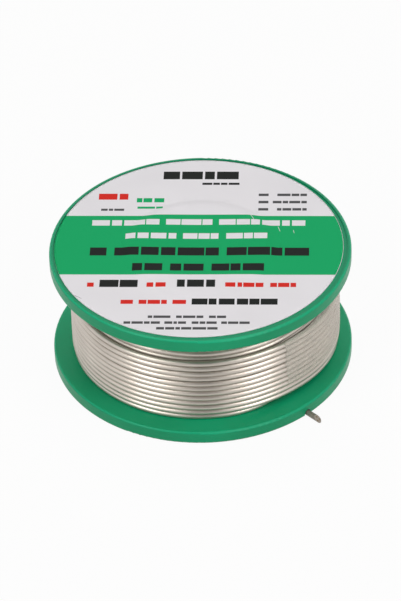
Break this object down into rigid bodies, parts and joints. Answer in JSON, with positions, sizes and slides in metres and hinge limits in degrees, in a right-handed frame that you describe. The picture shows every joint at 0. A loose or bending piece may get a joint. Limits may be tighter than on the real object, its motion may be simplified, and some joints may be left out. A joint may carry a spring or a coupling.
{
  "type": "solder wire spool",
  "caption": "Flanged round plastic spool with a snap-together hollow hub, wound with flux-cored solder wire held by clear tape, with a round label over its bore.",
  "frame": {"origin": "centre of the underside, on the spool's axis, in the plane of the ring it stands on", "axes": "+Z along the spool's axis towards the label; +X to the right along the label's band, as the label is looked at upright"},
  "size_m": [0.051, 0.051, 0.0219],
  "materials": {
    "green_plastic": "moulded, satin gloss",
    "solder": "drawn tin alloy wire, bright satin",
    "flux": "amber rosin",
    "clear_tape": "clear adhesive film, matte",
    "label_paper": "coated paper, printed"
  },
  "bodies": {
    "root": {"lower_half": "green_plastic", "upper_half": "green_plastic", "inner_winding": "solder", "outer_turns": "solder", "wire_tail": "solder", "flux_cores": "flux", "holding_tape": "clear_tape", "label": "label_paper"}
  },
  "joints": []
}
